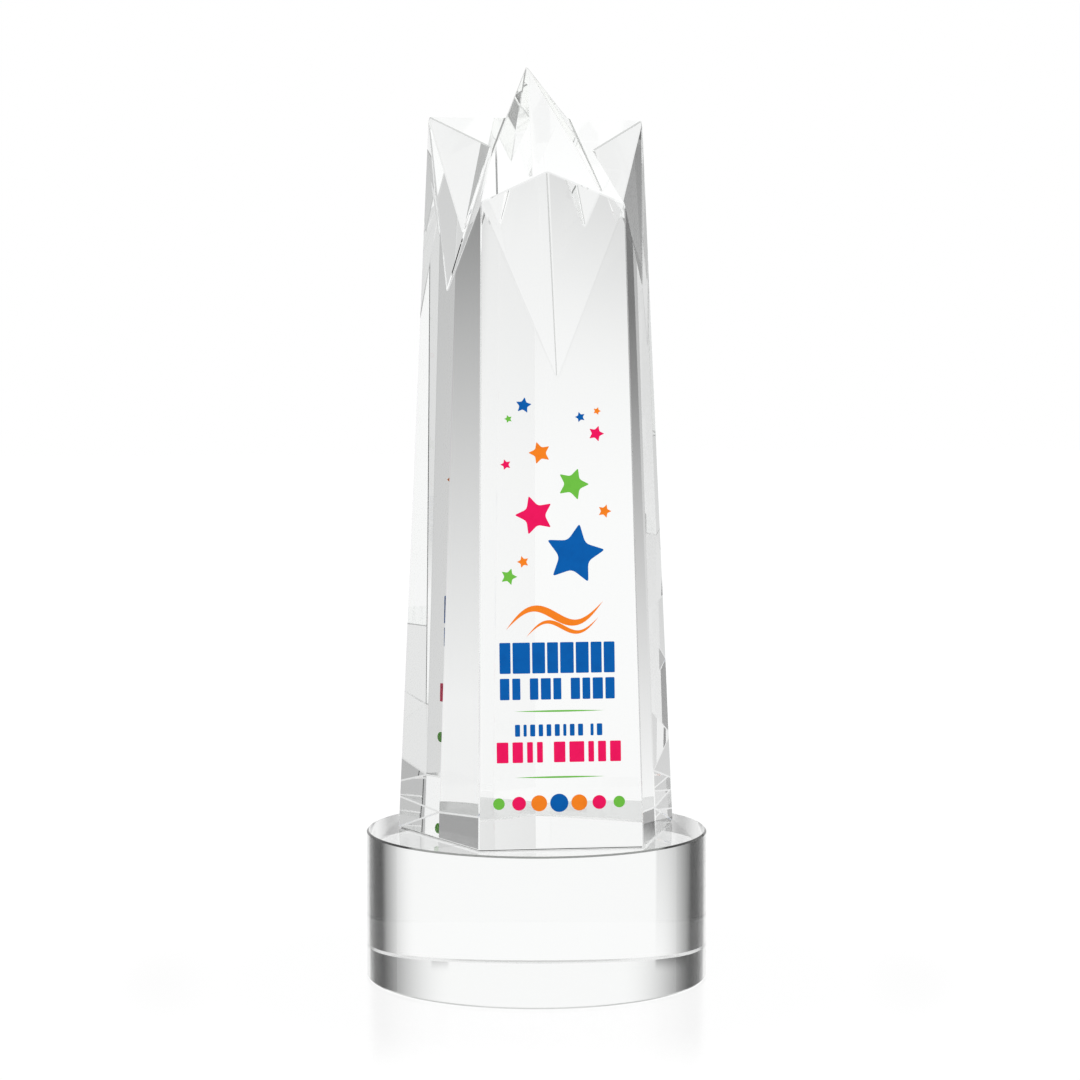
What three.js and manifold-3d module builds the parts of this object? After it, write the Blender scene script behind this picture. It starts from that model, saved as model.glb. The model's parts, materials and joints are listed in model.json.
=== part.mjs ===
// Star trophy: a tapered five-sided column of optical crystal, bonded to a round crystal base.
// The column's top is sawn off on a slant and notched once per side, which leaves a five-pointed star.
// Coloured ink is printed on the front face. Millimetres, +Z up, front towards -Y.
// The origin is the middle of the base's underside.

import * as THREE from "three";
import { ConvexGeometry } from "three/addons/geometries/ConvexGeometry.js";
import { mergeVertices } from "three/addons/utils/BufferGeometryUtils.js";
import Module from "manifold-3d";

// Base: a turned disc with a fine polished chamfer round both rims.
const BASE_RADIUS = 44.45;
const BASE_HEIGHT = 38.4;
const BASE_CHAMFER = 0.45;
const BASE_SEGMENTS = 96;

// Clear adhesive between base and column, with a hair of room above and below it.
const BOND_THICKNESS = 0.2;
const BOND_ROOM = 0.05;
const BOND_INSET = 0.6;

// Column: its middle stands a little forward of the base's.
const COLUMN_OFFSET = [1.0, -5.8];
const COLUMN_FOOT = BASE_HEIGHT + BOND_THICKNESS + 2 * BOND_ROOM;
// The sides in order round the column, from the front. Each is a plane, ground by hand: the way it faces,
// how far its foot is from the middle, and how far it leans in for each millimetre of height.
const FRONT = { facing: -90.4, reach: 28.7, lean: 0.0917 };
const RIGHT = { facing: -20.8, reach: 30.1, lean: 0.047 };
const BACK_RIGHT = { facing: 55.8, reach: 29.0, lean: 0.0095 };
const BACK_LEFT = { facing: 122.8, reach: 29.5, lean: 0.0112 };
const LEFT = { facing: 201.9, reach: 29.9, lean: 0.0497 };
const SIDES = [FRONT, RIGHT, BACK_RIGHT, BACK_LEFT, LEFT];
// The slanted cut: its height over the column's middle, and its rise for each millimetre towards the back.
const CUT_HEIGHT = 212.0;
const CUT_RISE = 0.818;

// Each side's notch runs from an inner corner of the star, [x, y] on the slanted cut, down to a point on the
// side, given by its distance aside from the middle of that side and its height.
const NOTCHES = [
  { inner: [0.4, -3.6], aside: 0.9, height: 156.2 },
  { inner: [13.4, 3.5], aside: 12.8, height: 179.4 },
  { inner: [8.5, 14.4], aside: -2.0, height: 192.3 },
  { inner: [-7.8, 14.4], aside: 0.3, height: 191.9 },
  { inner: [-12.9, 4.3], aside: -9.8, height: 178.3 },
];
// How far a notch's cutter runs past the crystal, as a share of the notch.
const CUTTER_OVERRUN = 1.5;

// Ink: plates on the front face, placed [across, up] from the middle of that face's foot.
const INK_THICKNESS = 0.08;
const INK_ROOM = 0.04;
const INK_COLOURS = { blue: 0x005cab, pink: 0xed125c, orange: 0xf58220, green: 0x6ebe44 };
// A star's inner corners lie at this share of its radius, and its corners are rounded over these shares
// of its edges. A sharp tip is drawn longer, so that the rounded one reaches the radius.
const STAR_WAIST = 0.52;
const TIP_ROUNDING = 0.16;
const WAIST_ROUNDING = 0.25;
const TIP_EXCESS = 1.05;
const STARS = [
  { at: [-7.8, 111.9], radius: 2.0, ink: "blue", turn: -9 },
  { at: [-11.7, 108.5], radius: 1.0, ink: "green", turn: 17 },
  { at: [6.6, 108.9], radius: 1.3, ink: "blue", turn: 17 },
  { at: [10.9, 110.4], radius: 1.0, ink: "orange", turn: -19 },
  { at: [10.6, 104.7], radius: 2.0, ink: "pink", turn: -19 },
  { at: [-3.8, 99.9], radius: 2.8, ink: "orange", turn: 17 },
  { at: [-12.5, 97.0], radius: 1.35, ink: "pink", turn: 17 },
  { at: [4.5, 92.0], radius: 4.0, ink: "green", turn: -19 },
  { at: [12.5, 85.1], radius: 1.7, ink: "orange", turn: -19 },
  { at: [-5.3, 84.2], radius: 4.9, ink: "pink", turn: 17 },
  { at: [4.7, 74.3], radius: 7.5, ink: "blue", turn: -10 },
  { at: [-8.4, 72.5], radius: 1.5, ink: "orange", turn: 17 },
  { at: [-12.1, 68.8], radius: 2.1, ink: "green", turn: -19 },
];
// Plain bars that stand for printed words: [left, bottom, right, top].
const BARS = {
  ink_title_bar: { box: [-14.7, 44.4, 14.6, 52.2], ink: "blue" },
  ink_subtitle_bar_1: { box: [-14.7, 37.8, -9.5, 43.2], ink: "blue" },
  ink_subtitle_bar_2: { box: [-7.1, 37.8, 0.9, 43.2], ink: "blue" },
  ink_subtitle_bar_3: { box: [3.3, 37.8, 14.5, 43.2], ink: "blue" },
  ink_line_bar_1: { box: [-11.0, 28.6, 6.3, 31.6], ink: "blue" },
  ink_line_bar_2: { box: [8.2, 28.6, 11.2, 31.6], ink: "blue" },
  ink_name_bar_1: { box: [-15.7, 22.0, -4.0, 27.2], ink: "pink" },
  ink_name_bar_2: { box: [-1.2, 22.0, 15.9, 27.2], ink: "pink" },
};
const BAR_ROUNDING = 0.5;
// Thin rules that narrow to a point at both ends.
const RULE_LENGTH = 23;
const RULE_ASIDE = 0.3;
const RULE_WIDTH = 0.45;
const RULES = { ink_rule_upper: 34.9, ink_rule_lower: 18.3 };
// Two brushed swashes above the title. Each rises and dips once about the line between its ends.
const SWASHES = {
  ink_swash_1: { from: [-13.0, 55.4], to: [11.8, 62.4], swing: 3.4, width: 1.9 },
  ink_swash_2: { from: [-7.8, 53.6], to: [10.6, 58.4], swing: 2.4, width: 1.1 },
};
const SWASH_STEPS = 40;
// A row of round dots at the foot of the print, largest in the middle.
const DOTS = { middle: [0.0, 11.8], spacing: 5.1, largest: 2.3, shrink: 0.28 };
const DOT_INKS = ["green", "pink", "orange", "blue", "orange", "pink", "green"];
const DOT_SEGMENTS = 32;

const wasm = await Module();
wasm.setup();

const crystal = new THREE.MeshStandardMaterial({ color: 0xeef4f3, roughness: 0.03, metalness: 0 });
const adhesive = new THREE.MeshStandardMaterial({ color: 0xf6f4ec, roughness: 0.2, metalness: 0 });
const inks = {};
for (const [name, color] of Object.entries(INK_COLOURS)) {
  inks[name] = new THREE.MeshStandardMaterial({ color, roughness: 0.35, metalness: 0 });
}

function named(name, geometry, material) {
  const mesh = new THREE.Mesh(geometry, material);
  mesh.name = name;
  return mesh;
}

function toSolid(geometry) {
  const bare = geometry.clone();
  bare.deleteAttribute("normal");
  bare.deleteAttribute("uv");
  const merged = mergeVertices(bare, 1e-4);
  const vertProperties = new Float32Array(merged.attributes.position.array);
  const triVerts = new Uint32Array(merged.index.array);
  return new wasm.Manifold(new wasm.Mesh({ numProp: 3, vertProperties, triVerts }));
}

function toGeometry(solid) {
  const mesh = solid.getMesh();
  const geometry = new THREE.BufferGeometry();
  geometry.setAttribute("position", new THREE.BufferAttribute(mesh.vertProperties, 3));
  geometry.setIndex(new THREE.BufferAttribute(mesh.triVerts, 1));
  geometry.computeVertexNormals();
  return geometry;
}

// The way a side faces, level with the ground.
function outward(side) {
  const angle = THREE.MathUtils.degToRad(side.facing);
  return new THREE.Vector3(Math.cos(angle), Math.sin(angle), 0);
}

function reachAt(side, height) {
  return side.reach - side.lean * (height - BASE_HEIGHT);
}

// Where two neighbouring sides meet at a height.
function edgeAt(a, b, height) {
  const [na, nb] = [outward(a), outward(b)];
  const [da, db] = [reachAt(a, height), reachAt(b, height)];
  const turn = na.x * nb.y - na.y * nb.x;
  return new THREE.Vector3((da * nb.y - db * na.y) / turn, (db * na.x - da * nb.x) / turn, height);
}

function onCut(x, y) {
  return new THREE.Vector3(x, y, CUT_HEIGHT + CUT_RISE * y);
}

// Where the edge between two sides runs out through the slanted cut. The edge is straight.
function tipOf(a, b) {
  const foot = edgeAt(a, b, COLUMN_FOOT);
  const along = edgeAt(a, b, COLUMN_FOOT + 1).sub(foot);
  const rise = (CUT_HEIGHT + CUT_RISE * foot.y - COLUMN_FOOT) / (1 - CUT_RISE * along.y);
  return foot.addScaledVector(along, rise);
}

function notchPoint(side, notch) {
  const out = outward(side);
  const across = new THREE.Vector3(-out.y, out.x, 0);
  const point = out.multiplyScalar(reachAt(side, notch.height));
  return point.addScaledVector(across, notch.aside).setZ(notch.height);
}

// A notch's cutter: both its faces hold the valley line, and each passes through one of the star's tips.
function cutter(side, notch, tips) {
  const inner = onCut(...notch.inner);
  const point = notchPoint(side, notch);
  const middle = inner.clone().add(point).divideScalar(2);
  const corners = [inner, point, ...tips];
  const grown = corners.map((p) => p.clone().sub(middle).multiplyScalar(1 + CUTTER_OVERRUN).add(middle));
  return toSolid(new ConvexGeometry(grown));
}

function columnGeometry() {
  const corners = SIDES.map((side, i) => [side, SIDES[(i + 1) % SIDES.length]]);
  const feet = corners.map(([a, b]) => edgeAt(a, b, COLUMN_FOOT));
  const tips = corners.map(([a, b]) => tipOf(a, b));
  let column = toSolid(new ConvexGeometry([...feet, ...tips]));
  SIDES.forEach((side, i) => {
    const ends = [tips[(i + SIDES.length - 1) % SIDES.length], tips[i]];
    column = column.subtract(cutter(side, NOTCHES[i], ends));
  });
  return toGeometry(column);
}

function baseGeometry() {
  const r = BASE_RADIUS;
  const c = BASE_CHAMFER;
  const profile = [
    [0, 0],
    [r - c, 0],
    [r, c],
    [r, BASE_HEIGHT - c],
    [r - c, BASE_HEIGHT],
    [0, BASE_HEIGHT],
  ];
  const points = profile.map(([x, y]) => new THREE.Vector2(x, y));
  return new THREE.LatheGeometry(points, BASE_SEGMENTS).rotateX(Math.PI / 2);
}

// The film covers the column's foot, a little short of its edges.
function bondGeometry() {
  const inset = SIDES.map((side) => ({ ...side, reach: side.reach - BOND_INSET }));
  const feet = inset.map((side, i) => edgeAt(side, inset[(i + 1) % inset.length], COLUMN_FOOT));
  const outline = new THREE.Shape(feet.map((p) => new THREE.Vector2(p.x, p.y)));
  return new THREE.ExtrudeGeometry(outline, { depth: BOND_THICKNESS, bevelEnabled: false });
}

// A star with rounded corners. Its first tip points up before it is turned.
function starShape(radius, turn) {
  const start = Math.PI / 2 + THREE.MathUtils.degToRad(turn);
  const corner = (k) => {
    const angle = start + (k * Math.PI) / 5;
    const share = k % 2 === 0 ? TIP_EXCESS : STAR_WAIST;
    return new THREE.Vector2(Math.cos(angle), Math.sin(angle)).multiplyScalar(radius * share);
  };
  const shape = new THREE.Shape();
  for (let k = 0; k < 10; k += 1) {
    const here = corner(k);
    const rounding = k % 2 === 0 ? TIP_ROUNDING : WAIST_ROUNDING;
    const near = here.clone().lerp(corner(k + 9), rounding);
    const far = here.clone().lerp(corner(k + 1), rounding);
    if (k === 0) shape.moveTo(near.x, near.y);
    else shape.lineTo(near.x, near.y);
    shape.quadraticCurveTo(here.x, here.y, far.x, far.y);
  }
  return shape;
}

function barShape([left, bottom, right, top]) {
  const r = BAR_ROUNDING;
  const shape = new THREE.Shape();
  shape.absarc(right - r, bottom + r, r, -Math.PI / 2, 0);
  shape.absarc(right - r, top - r, r, 0, Math.PI / 2);
  shape.absarc(left + r, top - r, r, Math.PI / 2, Math.PI);
  shape.absarc(left + r, bottom + r, r, Math.PI, 1.5 * Math.PI);
  return shape;
}

function ruleShape(height) {
  const [left, right] = [RULE_ASIDE - RULE_LENGTH / 2, RULE_ASIDE + RULE_LENGTH / 2];
  const shape = new THREE.Shape();
  shape.moveTo(left, height);
  shape.quadraticCurveTo(RULE_ASIDE, height - RULE_WIDTH, right, height);
  shape.quadraticCurveTo(RULE_ASIDE, height + RULE_WIDTH, left, height);
  return shape;
}

// A brush stroke that swells from a point and narrows to one again.
function swashShape({ from, to, swing, width }) {
  const [start, end] = [new THREE.Vector2(...from), new THREE.Vector2(...to)];
  const centre = (t) => {
    const point = start.clone().lerp(end, t);
    point.y += swing * Math.sin(2 * Math.PI * t);
    return point;
  };
  const [over, under] = [[], []];
  for (let i = 0; i <= SWASH_STEPS; i += 1) {
    const t = i / SWASH_STEPS;
    const ahead = centre(t + 1e-3).sub(centre(t - 1e-3)).normalize();
    const across = new THREE.Vector2(-ahead.y, ahead.x);
    const half = (width / 2) * Math.sin(Math.PI * t);
    over.push(centre(t).addScaledVector(across, half));
    if (i > 0 && i < SWASH_STEPS) under.push(centre(t).addScaledVector(across, -half));
  }
  return new THREE.Shape([...over, ...under.reverse()]);
}

function dotShape(index) {
  const step = index - (DOT_INKS.length - 1) / 2;
  const radius = DOTS.largest - DOTS.shrink * Math.abs(step);
  const shape = new THREE.Shape();
  shape.absarc(DOTS.middle[0] + step * DOTS.spacing, DOTS.middle[1], radius, 0, 2 * Math.PI);
  return shape;
}

function inkPlate(name, shape, ink, curveSegments) {
  const settings = { depth: INK_THICKNESS, bevelEnabled: false, curveSegments };
  return named(name, new THREE.ExtrudeGeometry(shape, settings), inks[ink]);
}

// Everything printed, in the front face's own frame: +X across, +Y up the face, +Z out of it.
function printedInk() {
  const print = new THREE.Group();
  STARS.forEach((star, i) => {
    const name = `ink_star_${String(i + 1).padStart(2, "0")}`;
    const plate = inkPlate(name, starShape(star.radius, star.turn), star.ink, 4);
    plate.position.set(star.at[0], star.at[1], 0);
    print.add(plate);
  });
  for (const [name, swash] of Object.entries(SWASHES)) {
    print.add(inkPlate(name, swashShape(swash), "orange", 1));
  }
  for (const [name, bar] of Object.entries(BARS)) {
    print.add(inkPlate(name, barShape(bar.box), bar.ink, 4));
  }
  for (const [name, height] of Object.entries(RULES)) {
    print.add(inkPlate(name, ruleShape(height), "green", 8));
  }
  DOT_INKS.forEach((ink, i) => print.add(inkPlate(`ink_dot_${i + 1}`, dotShape(i), ink, DOT_SEGMENTS)));
  return print;
}

const trophy = new THREE.Group();
trophy.add(named("round_base", baseGeometry(), crystal));

const column = new THREE.Group();
column.position.set(COLUMN_OFFSET[0], COLUMN_OFFSET[1], 0);
column.add(named("star_column", columnGeometry(), crystal));

const bond = named("bond_film", bondGeometry(), adhesive);
bond.position.z = BASE_HEIGHT + BOND_ROOM;
column.add(bond);

// The print's frame turns and leans back with the front face, and stands a hair off it.
const print = printedInk();
const leanAngle = Math.atan(FRONT.lean);
print.rotation.set(Math.PI / 2 - leanAngle, 0, THREE.MathUtils.degToRad(FRONT.facing) + Math.PI / 2, "ZXY");
print.position.copy(outward(FRONT)).multiplyScalar(FRONT.reach + INK_ROOM * Math.cos(leanAngle));
print.position.z = BASE_HEIGHT + INK_ROOM * Math.sin(leanAngle);
column.add(print);

trophy.add(column);

export default trophy;
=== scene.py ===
import json
import math

import bmesh
import bpy
from mathutils import Matrix, Vector


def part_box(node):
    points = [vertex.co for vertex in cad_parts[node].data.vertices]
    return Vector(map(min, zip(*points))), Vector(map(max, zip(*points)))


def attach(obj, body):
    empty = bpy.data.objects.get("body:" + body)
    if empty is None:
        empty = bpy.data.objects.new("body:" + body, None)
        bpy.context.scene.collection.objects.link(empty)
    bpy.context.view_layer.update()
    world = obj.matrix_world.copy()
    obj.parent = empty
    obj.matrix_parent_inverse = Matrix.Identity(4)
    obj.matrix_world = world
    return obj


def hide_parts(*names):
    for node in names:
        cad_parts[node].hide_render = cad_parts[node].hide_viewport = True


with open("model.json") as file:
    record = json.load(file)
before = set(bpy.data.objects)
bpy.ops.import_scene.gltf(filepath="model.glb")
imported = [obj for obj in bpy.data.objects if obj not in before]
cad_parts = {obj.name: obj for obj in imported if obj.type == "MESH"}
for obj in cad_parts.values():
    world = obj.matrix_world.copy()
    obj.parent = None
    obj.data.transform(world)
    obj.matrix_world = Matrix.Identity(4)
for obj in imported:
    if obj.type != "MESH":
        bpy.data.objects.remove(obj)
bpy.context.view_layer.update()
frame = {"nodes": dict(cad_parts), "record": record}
scene = bpy.context.scene


# Crystal column: one block of lead-free optical crystal, sawn, ground flat on five sides, cut to a slanted
# star on top and polished. A narrow ground flat takes the sharpness off each corner, and the wheel leaves a
# narrow round in the bottom of each notch. It is bonded to the base by its foot.
COLUMN_ARRIS = 0.00026
COLUMN_CREASE = 0.00050
CORNER_ANGLE = math.radians(4)
LONG_EDGE = 0.1
CRYSTAL_INDEX = 1.517


def node_maker(tree):
    """A function that adds a node to the tree and sets its properties."""

    def add(kind, **settings):
        node = tree.nodes.new(kind)
        for key, value in settings.items():
            setattr(node, key, value)
        return node

    return add


def shader_nodes(material):
    """The material's node tree, its Principled shader and a maker of further nodes."""
    material.use_nodes = True
    tree = material.node_tree
    return tree, tree.nodes["Principled BSDF"], node_maker(tree)


def haze_group():
    """Faint wiping haze and dust specks on polished crystal: a roughness value and a dust mask."""
    group = bpy.data.node_groups.new("polish_haze", "ShaderNodeTree")
    face = group.interface
    face.new_socket("Clear", in_out="INPUT", socket_type="NodeSocketFloat").default_value = 0.0
    face.new_socket("Hazy", in_out="INPUT", socket_type="NodeSocketFloat").default_value = 0.02
    face.new_socket("Scale", in_out="INPUT", socket_type="NodeSocketFloat").default_value = 30.0
    face.new_socket("Roughness", in_out="OUTPUT", socket_type="NodeSocketFloat")
    face.new_socket("Dust", in_out="OUTPUT", socket_type="NodeSocketFloat")
    add = node_maker(group)
    inputs = add("NodeGroupInput")
    outputs = add("NodeGroupOutput")
    place = add("ShaderNodeTexCoord")
    wipes = add("ShaderNodeTexNoise")
    wipes.inputs["Detail"].default_value = 3.0
    wipes.inputs["Distortion"].default_value = 0.6
    patches = add("ShaderNodeMapRange")
    patches.inputs["From Min"].default_value = 0.52
    patches.inputs["From Max"].default_value = 0.78
    specks = add("ShaderNodeTexVoronoi")
    specks.inputs["Scale"].default_value = 900.0
    dots = add("ShaderNodeMapRange")
    dots.inputs["From Min"].default_value = 0.10
    dots.inputs["From Max"].default_value = 0.04
    finish = add("ShaderNodeMapRange")
    links = group.links
    links.new(place.outputs["Object"], wipes.inputs["Vector"])
    links.new(place.outputs["Object"], specks.inputs["Vector"])
    links.new(inputs.outputs["Scale"], wipes.inputs["Scale"])
    links.new(wipes.outputs["Fac"], patches.inputs["Value"])
    links.new(patches.outputs["Result"], finish.inputs["Value"])
    links.new(inputs.outputs["Clear"], finish.inputs["To Min"])
    links.new(inputs.outputs["Hazy"], finish.inputs["To Max"])
    links.new(specks.outputs["Distance"], dots.inputs["Value"])
    links.new(finish.outputs["Result"], outputs.inputs["Roughness"])
    links.new(dots.outputs["Result"], outputs.inputs["Dust"])
    return group


POLISH_HAZE = haze_group()


def crystal_material(name, clear, hazy, tint, dusty_tint):
    """Optical crystal: glass whose roughness goes from clear to hazy in patches, with rare specks of dust."""
    material = bpy.data.materials.new(name)
    tree, shader, add = shader_nodes(material)
    shader.inputs["Metallic"].default_value = 0.0
    shader.inputs["Transmission Weight"].default_value = 1.0
    shader.inputs["IOR"].default_value = CRYSTAL_INDEX
    haze = add("ShaderNodeGroup", node_tree=POLISH_HAZE)
    haze.inputs["Clear"].default_value = clear
    haze.inputs["Hazy"].default_value = hazy
    colour = add("ShaderNodeMix", data_type="RGBA")
    colour.inputs[6].default_value = (*tint, 1.0)
    colour.inputs[7].default_value = (*dusty_tint, 1.0)
    tree.links.new(haze.outputs["Dust"], colour.inputs[0])
    tree.links.new(colour.outputs[2], shader.inputs["Base Color"])
    tree.links.new(haze.outputs["Roughness"], shader.inputs["Roughness"])
    return material


POLISHED = crystal_material(
    "polished_crystal", clear=0.0, hazy=0.003, tint=(0.985, 0.993, 0.988), dusty_tint=(0.93, 0.935, 0.93),
)
GROUND = crystal_material(
    "ground_crystal", clear=0.10, hazy=0.22, tint=(0.93, 0.94, 0.935), dusty_tint=(0.88, 0.885, 0.88),
)
# Painted shade: a ground edge that is seen against the light scatters it away, and looks grey or nearly
# black.
# These two are tinted grey and nearly black as painted shade, because rough clear glass alone stays too
# bright.
GREY_PAINTED_SHADE = crystal_material(
    "ground_edge_grey_painted_shade", clear=0.10, hazy=0.16, tint=(0.50, 0.51, 0.50), dusty_tint=(0.45, 0.455, 0.45),
)
DARK_PAINTED_SHADE = crystal_material(
    "ground_edge_dark_painted_shade", clear=0.10, hazy=0.16, tint=(0.09, 0.095, 0.09), dusty_tint=(0.08, 0.085, 0.08),
)


def finished_object(name, mesh_data, materials, body="root"):
    """An object for a finished bmesh: at the origin, with its materials, riding on a CAD body."""
    mesh = bpy.data.meshes.new(name)
    mesh_data.to_mesh(mesh)
    mesh_data.free()
    for material in materials:
        mesh.materials.append(material)
    obj = bpy.data.objects.new(name, mesh)
    scene.collection.objects.link(obj)
    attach(obj, body)
    return obj


def cad_copy(node):
    """A bmesh of a CAD node with its loose triangles merged and its flat faces made whole."""
    shape = bmesh.new()
    shape.from_mesh(frame["nodes"][node].data)
    bmesh.ops.remove_doubles(shape, verts=shape.verts, dist=1e-6)
    bmesh.ops.dissolve_limit(shape, angle_limit=math.radians(0.5), verts=shape.verts, edges=shape.edges)
    return shape


def corners(shape):
    """The edges where two flats meet at an angle, sharp or hollow."""
    return [e for e in shape.edges if e.is_manifold and e.calc_face_angle() > CORNER_ANGLE]


def is_back_corner(edge, tip):
    """Whether the edge is the long one that runs down from the highest tip to the foot."""
    return tip in edge.verts and edge.calc_length() > LONG_EDGE


def eased(shape, edges, width, steps):
    """The new faces where the edges are cut back by a width, in one flat or more steps."""
    cut = bmesh.ops.bevel(
        shape, geom=edges, affect="EDGES", offset=width, offset_type="OFFSET", segments=steps, profile=0.5,
        material=-1, clamp_overlap=True,
    )
    return cut["faces"]


def column_edge_finish_and_painted_shade(face):
    """Painted shade at the star's back arms, dark or grey by which way the flat faces, and plain ground
    elsewhere.
    """
    on_back_arms = face.calc_center_median().y > 0 and face.normal.z > 0.5
    if not on_back_arms:
        return GROUND
    return DARK_PAINTED_SHADE if face.normal.y > 0 else GREY_PAINTED_SHADE


column_finishes_and_shades = [POLISHED, GROUND, GREY_PAINTED_SHADE, DARK_PAINTED_SHADE]
column = cad_copy("star_column")
hollows = eased(column, [e for e in corners(column) if not e.is_convex], COLUMN_CREASE, steps=2)
for face in column.faces:
    face.material_index = column_finishes_and_shades.index(POLISHED)
    face.smooth = False
# The rounds in the notches that face +X carry grey painted shade, and the others stay polished.
for face in hollows:
    face.material_index = column_finishes_and_shades.index(GREY_PAINTED_SHADE if face.normal.x > 0 else POLISHED)
highest = max(column.verts, key=lambda v: v.co.z)
sharp = [e for e in corners(column) if e.is_convex and not is_back_corner(e, highest)]
flats = eased(column, sharp, COLUMN_ARRIS, steps=1)
bmesh.ops.recalc_face_normals(column, faces=column.faces)
# The ground flats on the star's back arms carry dark or grey painted shade, and the rest stay plain ground.
for face in flats:
    face.material_index = column_finishes_and_shades.index(column_edge_finish_and_painted_shade(face))
    face.smooth = False
column_object = finished_object("crystal_column", column, column_finishes_and_shades)
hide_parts("star_column")


# Round base: a crystal disc turned and polished all over, with a fine ground chamfer round both rims.
# It stands flat on its underside.
BASE_SEGMENTS = 384
BASE_CHAMFER = 0.00045
LEVEL_FACE = 0.9
UPRIGHT_FACE = 0.1
base_finishes_and_shades = [POLISHED, DARK_PAINTED_SHADE, GREY_PAINTED_SHADE]
base_low, base_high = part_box("round_base")
base_radius = (base_high[0] - base_low[0]) / 2

base = bmesh.new()
profile = [base.verts.new((0.0, 0.0, 0.0))]
for reach, height in (
    (base_radius - BASE_CHAMFER, 0.0),
    (base_radius, BASE_CHAMFER),
    (base_radius, base_high[2] - BASE_CHAMFER),
    (base_radius - BASE_CHAMFER, base_high[2]),
    (0.0, base_high[2]),
):
    profile.append(base.verts.new((reach, 0.0, height)))
rims = [base.edges.new(pair) for pair in zip(profile, profile[1:])]
bmesh.ops.spin(
    base, geom=profile + rims, cent=(0, 0, 0), axis=(0, 0, 1), dvec=(0, 0, 0), angle=math.tau,
    steps=BASE_SEGMENTS, use_merge=True,
)
bmesh.ops.remove_doubles(base, verts=base.verts, dist=1e-7)
bmesh.ops.recalc_face_normals(base, faces=base.faces)
for face in base.faces:
    tilt = abs(face.normal.z)
    face.smooth = tilt < UPRIGHT_FACE
    face.material_index = base_finishes_and_shades.index(POLISHED)
    # The chamfers carry painted shade: dark round the top rim, grey round the bottom rim.
    if UPRIGHT_FACE < tilt < LEVEL_FACE:
        face.material_index = base_finishes_and_shades.index(DARK_PAINTED_SHADE if face.normal.z > 0 else GREY_PAINTED_SHADE)
for edge in base.edges:
    edge.smooth = edge.calc_face_angle(0.0) < math.radians(20)
base_object = finished_object("crystal_base", base, base_finishes_and_shades)
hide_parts("round_base")


# Bond film: a thin layer of clear adhesive, hardened by light, between the column's foot and the base.
# It has set with a faint ripple.
ADHESIVE_INDEX = 1.5


def adhesive_material():
    material = bpy.data.materials.new("clear_adhesive")
    tree, shader, add = shader_nodes(material)
    shader.inputs["Metallic"].default_value = 0.0
    shader.inputs["Transmission Weight"].default_value = 1.0
    shader.inputs["IOR"].default_value = ADHESIVE_INDEX
    place = add("ShaderNodeTexCoord")
    ripple = add("ShaderNodeTexNoise")
    ripple.inputs["Scale"].default_value = 120.0
    shade = add("ShaderNodeValToRGB")
    shade.color_ramp.elements[0].color = (0.97, 0.97, 0.955, 1.0)
    shade.color_ramp.elements[1].color = (1.0, 1.0, 0.99, 1.0)
    rough = add("ShaderNodeMapRange")
    rough.inputs["To Min"].default_value = 0.0
    rough.inputs["To Max"].default_value = 0.05
    tree.links.new(place.outputs["Object"], ripple.inputs["Vector"])
    tree.links.new(ripple.outputs["Fac"], shade.inputs["Fac"])
    tree.links.new(ripple.outputs["Fac"], rough.inputs["Value"])
    tree.links.new(shade.outputs["Color"], shader.inputs["Base Color"])
    tree.links.new(rough.outputs["Result"], shader.inputs["Roughness"])
    return material


frame["nodes"]["bond_film"].data.materials[0] = adhesive_material()


# Printed ink: four solid colours laid on the front face by a flat-bed printer and hardened by light, which
# leaves a satin skin with a very fine grain and slightly uneven cover.
def ink_material(name, colour, deep):
    material = bpy.data.materials.new(name)
    tree, shader, add = shader_nodes(material)
    place = add("ShaderNodeTexCoord")
    cover = add("ShaderNodeTexNoise")
    cover.inputs["Scale"].default_value = 450.0
    cover.inputs["Detail"].default_value = 4.0
    shade = add("ShaderNodeMix", data_type="RGBA")
    shade.inputs[6].default_value = (*deep, 1.0)
    shade.inputs[7].default_value = (*colour, 1.0)
    even = add("ShaderNodeMapRange")
    even.inputs["From Min"].default_value = 0.3
    even.inputs["From Max"].default_value = 0.55
    grain = add("ShaderNodeTexNoise")
    grain.inputs["Scale"].default_value = 5200.0
    satin = add("ShaderNodeMapRange")
    satin.inputs["To Min"].default_value = 0.38
    satin.inputs["To Max"].default_value = 0.55
    skin = add("ShaderNodeBump")
    skin.inputs["Strength"].default_value = 0.12
    skin.inputs["Distance"].default_value = 0.00002
    tree.links.new(place.outputs["Object"], cover.inputs["Vector"])
    tree.links.new(place.outputs["Object"], grain.inputs["Vector"])
    tree.links.new(cover.outputs["Fac"], even.inputs["Value"])
    tree.links.new(even.outputs["Result"], shade.inputs[0])
    tree.links.new(shade.outputs[2], shader.inputs["Base Color"])
    tree.links.new(grain.outputs["Fac"], satin.inputs["Value"])
    tree.links.new(satin.outputs["Result"], shader.inputs["Roughness"])
    tree.links.new(grain.outputs["Fac"], skin.inputs["Height"])
    tree.links.new(skin.outputs["Normal"], shader.inputs["Normal"])
    shader.inputs["Specular IOR Level"].default_value = 0.08
    return material


INKS = {
    "ink_blue": ink_material("blue_ink", (0.0, 0.107, 0.407), (0.0, 0.095, 0.37)),
    "ink_pink": ink_material("pink_ink", (0.847, 0.006, 0.107), (0.80, 0.005, 0.098)),
    "ink_orange": ink_material("orange_ink", (0.913, 0.223, 0.014), (0.87, 0.205, 0.012)),
    "ink_green": ink_material("green_ink", (0.156, 0.515, 0.058), (0.142, 0.48, 0.052)),
}
for row in frame["record"]["subparts"]:
    if row["material_slot"] in INKS:
        frame["nodes"][row["node"]].data.materials[0] = INKS[row["material_slot"]]


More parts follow.
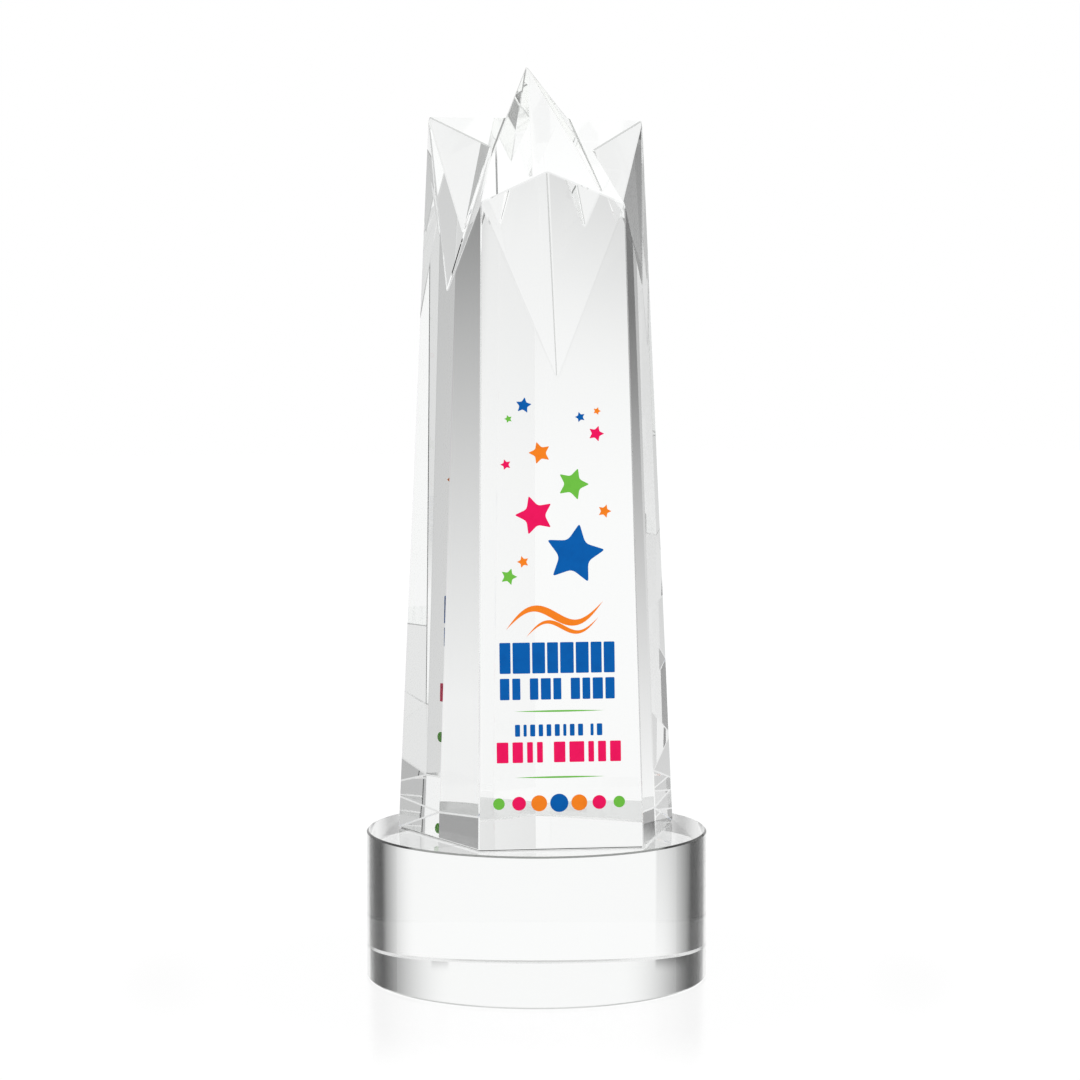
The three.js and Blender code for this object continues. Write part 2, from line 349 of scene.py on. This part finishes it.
# Printed words: rows of plain upright blocks stand for the title, the line under it, the small line and the
# name. Each block is as tall as its line of print, and lies where the whole line's ink does.
INK_THICKNESS = 0.00008
BLOCK_ROUNDING = 0.00025


def face_frame(node):
    """A bar's own frame: its lowest left corner at the origin, +X across, +Y up the face, +Z out of it."""
    shape = cad_copy(node)
    front = max(shape.faces, key=lambda f: f.calc_area() * (f.normal.y < 0))
    out = front.normal.copy()
    across = Vector((0, 0, 1)).cross(out).normalized()
    up = out.cross(across)
    turned = Matrix((across, up, out)).transposed()
    corners = [turned.transposed() @ v.co for v in shape.verts]
    shape.free()
    low = Vector([min(c[i] for c in corners) for i in range(3)])
    high = Vector([max(c[i] for c in corners) for i in range(3)])
    return turned.to_4x4() @ Matrix.Translation(low), high - low


def word_blocks(name, node, widths, gap, material):
    """A printed word as upright blocks. Widths are shares, and the gap is a share of the mean block."""
    place, size = face_frame(node)
    spaces = gap * (len(widths) - 1)
    share = size.x / (sum(widths) + spaces)
    shape = bmesh.new()
    left = 0.0
    for width in widths:
        made = bmesh.ops.create_cube(shape, size=1.0)
        span = width * share
        middle = Matrix.Translation((left + span / 2, size.y / 2, INK_THICKNESS / 2))
        grow = Matrix.Diagonal((span, size.y, INK_THICKNESS, 1.0))
        bmesh.ops.transform(shape, matrix=middle @ grow, verts=made["verts"])
        upright = {
            e for v in made["verts"] for e in v.link_edges
            if abs(e.verts[0].co.z - e.verts[1].co.z) > INK_THICKNESS / 2
        }
        bmesh.ops.bevel(
            shape, geom=list(upright), affect="EDGES", offset=BLOCK_ROUNDING, segments=4, profile=0.5,
            material=-1,
        )
        left += span + gap * share
    bmesh.ops.transform(shape, matrix=place, verts=shape.verts)
    obj = finished_object(name, shape, [material])
    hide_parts(node)
    return obj


WORDS = (
    ("title_word", "ink_title_bar", (0.85, 1.35, 1.0, 0.85, 1.05, 1.0, 0.85, 0.85), 0.16, "ink_blue"),
    ("subtitle_word_1", "ink_subtitle_bar_1", (1.0, 0.85), 0.3, "ink_blue"),
    ("subtitle_word_2", "ink_subtitle_bar_2", (0.85, 1.0, 0.8), 0.25, "ink_blue"),
    ("subtitle_word_3", "ink_subtitle_bar_3", (0.95, 0.8, 1.05, 0.95), 0.25, "ink_blue"),
    ("line_word_1", "ink_line_bar_1", (0.8, 0.5, 0.8, 0.7, 0.75, 0.8, 0.5, 0.75, 0.8), 0.55, "ink_blue"),
    ("line_word_2", "ink_line_bar_2", (0.5, 0.9), 0.55, "ink_blue"),
    ("name_word_1", "ink_name_bar_1", (1.0, 0.9, 0.5, 0.5), 0.35, "ink_pink"),
    ("name_word_2", "ink_name_bar_2", (1.0, 1.3, 0.5, 0.7, 0.95), 0.35, "ink_pink"),
)
for word, bar, widths, gap, ink in WORDS:
    word_blocks(word, bar, widths, gap, INKS[ink])


# Camera: a long lens at three quarters of the award's height, a little to its left, and tipped slightly
# down.
CAMERA_PLACE = (-0.12068, -0.81508, 0.17348)
CAMERA_TILT = math.radians(85.875)
CAMERA_TURN = math.radians(-8.484)
CAMERA_LENS = 105.73

camera_data = bpy.data.cameras.new("camera")
camera_data.lens = CAMERA_LENS
camera_data.sensor_width = 36.0
camera_data.clip_start = 0.01
camera = bpy.data.objects.new("camera", camera_data)
camera.location = CAMERA_PLACE
camera.rotation_euler = (CAMERA_TILT, 0.0, CAMERA_TURN)
scene.collection.objects.link(camera)
scene.camera = camera


# Studio room: white to the eye all round. What the crystal sees is a lit wall behind the award, with two
# hanging dark cloths that draw the column's outer bands, in a grey tent with a white floor, a pale roof and
# a row of lamps behind the viewer. Bearings are from the middle of the wall, and heights are sines.
STUDIO_TURN = CAMERA_TURN
WALL_LIGHT = 0.985
WALL_EDGE = (math.radians(64), math.radians(72))
# The wall darkens towards its sides, from and to these bearings and levels. It does so sooner above the
# horizon than below it, and goes from one to the other over these heights.
LOW_SIDES = (math.radians(33), math.radians(62), 1.0, 0.05)
HIGH_SIDES = (math.radians(20), math.radians(58), 0.98, 0.03)
SIDES_BLEND = (-0.10, 0.15)
# A cloth has a middle bearing, and half-widths where it is fully dark and where it ends. From its low to its
# high height it darkens to its depth, and both cloths end at the same top.
NARROW_CLOTH = (math.radians(24.3), math.radians(2.2), math.radians(3.4), -0.165, -0.009, 0.60)
BROAD_CLOTH = (math.radians(-42.5), math.radians(9.0), math.radians(10.5), -0.205, -0.050, 0.85)
CLOTH_TOP = (0.199, 0.206)
# The wall is also a little dimmer along the horizon, lower down in its middle than at its sides.
DIM_BAND = (-0.017, 0.055, 0.0, 0.23)
DIM_HEIGHT = 0.157
DIM_RISE = -0.28
DIM_TOP = (0.02, 0.12)
# The tent brightens away from the horizon, up and down alike.
TENT_RISE = (0.0, 0.35, 0.52, 0.80)
LAMPS_LIGHT = 1.0
LAMPS_SIDES = (math.radians(125), math.radians(150))
LAMPS_FOOT = (0.0, 0.08)
FLOOR_LIGHT = 1.04
FLOOR_EDGE = (-0.405, -0.385)
ROOF_LIGHT = 0.88
ROOF_EDGE = (0.24, 0.28)


def calculated(tree, operation, *values):
    """A Math node's result. Each value is a number or another node's socket."""
    node = tree.nodes.new("ShaderNodeMath")
    node.operation = operation
    for socket, value in zip(node.inputs, values):
        if isinstance(value, (int, float)):
            socket.default_value = value
        else:
            tree.links.new(value, socket)
    return node.outputs[0]


def spread(tree, value, low, high, at_low, at_high, curve="SMOOTHSTEP"):
    """A change from one value to another as the input goes from low to high."""
    node = tree.nodes.new("ShaderNodeMapRange")
    node.interpolation_type = curve
    tree.links.new(value, node.inputs["Value"])
    for socket, number in zip(node.inputs[1:5], (low, high, at_low, at_high)):
        socket.default_value = number
    return node.outputs["Result"]


def product(tree, *values):
    """The values multiplied together."""
    result = values[0]
    for value in values[1:]:
        result = calculated(tree, "MULTIPLY", result, value)
    return result


def without(tree, share):
    """What is left of one when a share is taken away."""
    return calculated(tree, "SUBTRACT", 1.0, share)


def blend(tree, first, second, share):
    """The first value where the share is nought, the second where it is one."""
    step = product(tree, calculated(tree, "SUBTRACT", second, first), share)
    return calculated(tree, "ADD", first, step)


def split_place(tree, output):
    """The X, Y and Z of a Texture Coordinate output."""
    place = tree.nodes.new("ShaderNodeTexCoord")
    parts = tree.nodes.new("ShaderNodeSeparateXYZ")
    tree.links.new(place.outputs[output], parts.inputs[0])
    return parts.outputs


def cloth_shade(tree, bearing, height, cloth):
    """How much of the wall's light a hanging cloth takes away."""
    middle, full, edge, low, high, depth = cloth
    off = calculated(tree, "ABSOLUTE", calculated(tree, "SUBTRACT", bearing, middle))
    return product(
        tree, spread(tree, off, full, edge, 1.0, 0.0), spread(tree, height, *CLOTH_TOP, 1.0, 0.0),
        spread(tree, height, low, high, 0.0, depth, "LINEAR"),
    )


def wall_light(tree, bearing, side, height):
    """The lit wall, with its darker sides, its two cloths and its dimmer band."""
    sides = blend(
        tree, spread(tree, side, *LOW_SIDES), spread(tree, side, *HIGH_SIDES),
        spread(tree, height, *SIDES_BLEND, 0.0, 1.0),
    )
    over_band = calculated(tree, "ADD", product(tree, side, DIM_RISE), DIM_HEIGHT)
    band = spread(tree, calculated(tree, "ADD", height, over_band), *DIM_BAND)
    return product(
        tree, WALL_LIGHT, without(tree, cloth_shade(tree, bearing, height, NARROW_CLOTH)),
        without(tree, cloth_shade(tree, bearing, height, BROAD_CLOTH)), sides,
        without(tree, product(tree, band, spread(tree, height, *DIM_TOP, 1.0, 0.0))),
    )


def tent_light(tree, side, height):
    """The tent, with its row of lamps behind the viewer."""
    lamps_share = product(
        tree, spread(tree, side, *LAMPS_SIDES, 0.0, 1.0), spread(tree, height, *LAMPS_FOOT, 0.0, 1.0),
    )
    cloth = spread(tree, calculated(tree, "ABSOLUTE", height), *TENT_RISE)
    return blend(tree, cloth, LAMPS_LIGHT, lamps_share)


world = bpy.data.worlds.new("studio")
scene.world = world
world.use_nodes = True
sky = world.node_tree
way = split_place(sky, "Generated")
height = way["Z"]
bearing = calculated(sky, "ADD", calculated(sky, "ARCTAN2", way["X"], way["Y"]), STUDIO_TURN)
side = calculated(sky, "ABSOLUTE", bearing)
wall = wall_light(sky, bearing, side, height)
room = blend(sky, tent_light(sky, side, height), wall, spread(sky, side, *WALL_EDGE, 1.0, 0.0))
room = blend(sky, room, FLOOR_LIGHT, spread(sky, height, *FLOOR_EDGE, 1.0, 0.0))
room = blend(sky, room, ROOF_LIGHT, spread(sky, height, *ROOF_EDGE, 0.0, 1.0))
sky_path = sky.nodes.new("ShaderNodeLightPath")
background = sky.nodes["Background"]
background.inputs["Color"].default_value = (1.0, 1.0, 1.0, 1.0)
white_to_eye = calculated(sky, "MAXIMUM", room, sky_path.outputs["Is Camera Ray"])
sky.links.new(white_to_eye, background.inputs["Strength"])


# Grey film: a tinted pane that stands behind the award, square to the viewer. It is a little grey high up,
# and dark at its sides low down. The crystal and the floor's sheen show it, and the eye doesn't see it.
FILM_DISTANCE = 0.130
FILM_REACH = 0.5
FILM_GREY = (0.10, 0.19, 1.0, 0.92)
FILM_SIDES = (0.095, 0.125, 0.0, 0.75)
FILM_SIDES_TOP = (0.04, 0.10, 1.0, 0.0)


def stage_pane(name, reach):
    """A flat square pane of the studio, level and centred on the origin, with an empty material."""
    shape = bmesh.new()
    bmesh.ops.create_grid(shape, x_segments=1, y_segments=1, size=reach)
    mesh = bpy.data.meshes.new(name)
    shape.to_mesh(mesh)
    shape.free()
    pane = bpy.data.objects.new(name, mesh)
    scene.collection.objects.link(pane)
    material = bpy.data.materials.new(name)
    material.use_nodes = True
    material.node_tree.nodes.clear()
    mesh.materials.append(material)
    return pane, material.node_tree


film, film_tree = stage_pane("grey_film", FILM_REACH)
film.location = Matrix.Rotation(STUDIO_TURN, 3, "Z") @ Vector((0, FILM_DISTANCE, 0))
film.rotation_euler = (math.pi / 2, 0, STUDIO_TURN)
film.visible_camera = False
film.visible_diffuse = False
film.visible_shadow = False
film_add = node_maker(film_tree)
spot = split_place(film_tree, "Object")
film_side = calculated(film_tree, "ABSOLUTE", spot["X"])
side_shade = product(
    film_tree, spread(film_tree, film_side, *FILM_SIDES), spread(film_tree, spot["Y"], *FILM_SIDES_TOP),
)
clearness = product(film_tree, spread(film_tree, spot["Y"], *FILM_GREY), without(film_tree, side_shade))
grey = film_add("ShaderNodeCombineColor")
for channel in grey.inputs:
    film_tree.links.new(clearness, channel)
tinted = film_add("ShaderNodeBsdfTransparent")
film_output = film_add("ShaderNodeOutputMaterial")
film_tree.links.new(grey.outputs[0], tinted.inputs["Color"])
film_tree.links.new(tinted.outputs[0], film_output.inputs["Surface"])


# Floor: a white board with a low sheen, seen by the eye alone, which mirrors the award faintly close to it.
# The crystal sees the room's own white floor.
FLOOR_REACH = 3.0
FLOOR_DROP = 0.0002
FLOOR_WHITE = 1.03
FLOOR_POLISH = 0.12
FLOOR_SHEEN = (0.07, 0.13, 0.12, 0.0)

floor, floor_tree = stage_pane("floor", FLOOR_REACH)
floor.data.transform(Matrix.Translation((0, 0, -FLOOR_DROP)))
floor_add = node_maker(floor_tree)
floor_spot = floor_add("ShaderNodeTexCoord")
distance = floor_add("ShaderNodeVectorMath", operation="LENGTH")
floor_tree.links.new(floor_spot.outputs["Object"], distance.inputs[0])
white = floor_add("ShaderNodeEmission")
white.inputs["Strength"].default_value = FLOOR_WHITE
mirror = floor_add("ShaderNodeBsdfGlossy")
mirror.inputs["Roughness"].default_value = FLOOR_POLISH
board = floor_add("ShaderNodeMixShader")
floor_tree.links.new(spread(floor_tree, distance.outputs["Value"], *FLOOR_SHEEN), board.inputs[0])
floor_tree.links.new(white.outputs[0], board.inputs[1])
floor_tree.links.new(mirror.outputs[0], board.inputs[2])
unseen = floor_add("ShaderNodeBsdfTransparent")
floor_path = floor_add("ShaderNodeLightPath")
for_eye = floor_add("ShaderNodeMixShader")
floor_output = floor_add("ShaderNodeOutputMaterial")
floor_tree.links.new(floor_path.outputs["Is Camera Ray"], for_eye.inputs[0])
floor_tree.links.new(unseen.outputs[0], for_eye.inputs[1])
floor_tree.links.new(board.outputs[0], for_eye.inputs[2])
floor_tree.links.new(for_eye.outputs[0], floor_output.inputs["Surface"])


# Softbox: one large soft lamp in front, to the left and above. It lights the printed ink, and the crystal
# doesn't show it.
SOFTBOX_SIZE = (1.2, 0.8)
SOFTBOX_POWER = 7.4
SOFTBOX_PLACE = Vector((-0.2, -1.6, 1.1))
SOFTBOX_AIM = Vector((0, 0, 0.12))

softbox_data = bpy.data.lights.new("softbox", "AREA")
softbox_data.shape = "RECTANGLE"
softbox_data.size, softbox_data.size_y = SOFTBOX_SIZE
softbox_data.energy = SOFTBOX_POWER
softbox = bpy.data.objects.new("softbox", softbox_data)
softbox.location = SOFTBOX_PLACE
softbox.rotation_euler = (SOFTBOX_AIM - SOFTBOX_PLACE).to_track_quat("-Z", "Y").to_euler()
softbox.visible_transmission = False
softbox.visible_glossy = False
scene.collection.objects.link(softbox)

scene.view_settings.view_transform = "Standard"
# Light that is caught inside the crystal turns many times before it leaves.
scene.cycles.max_bounces = 24
scene.cycles.transmission_bounces = 24
scene.cycles.glossy_bounces = 16
scene.cycles.transparent_max_bounces = 16
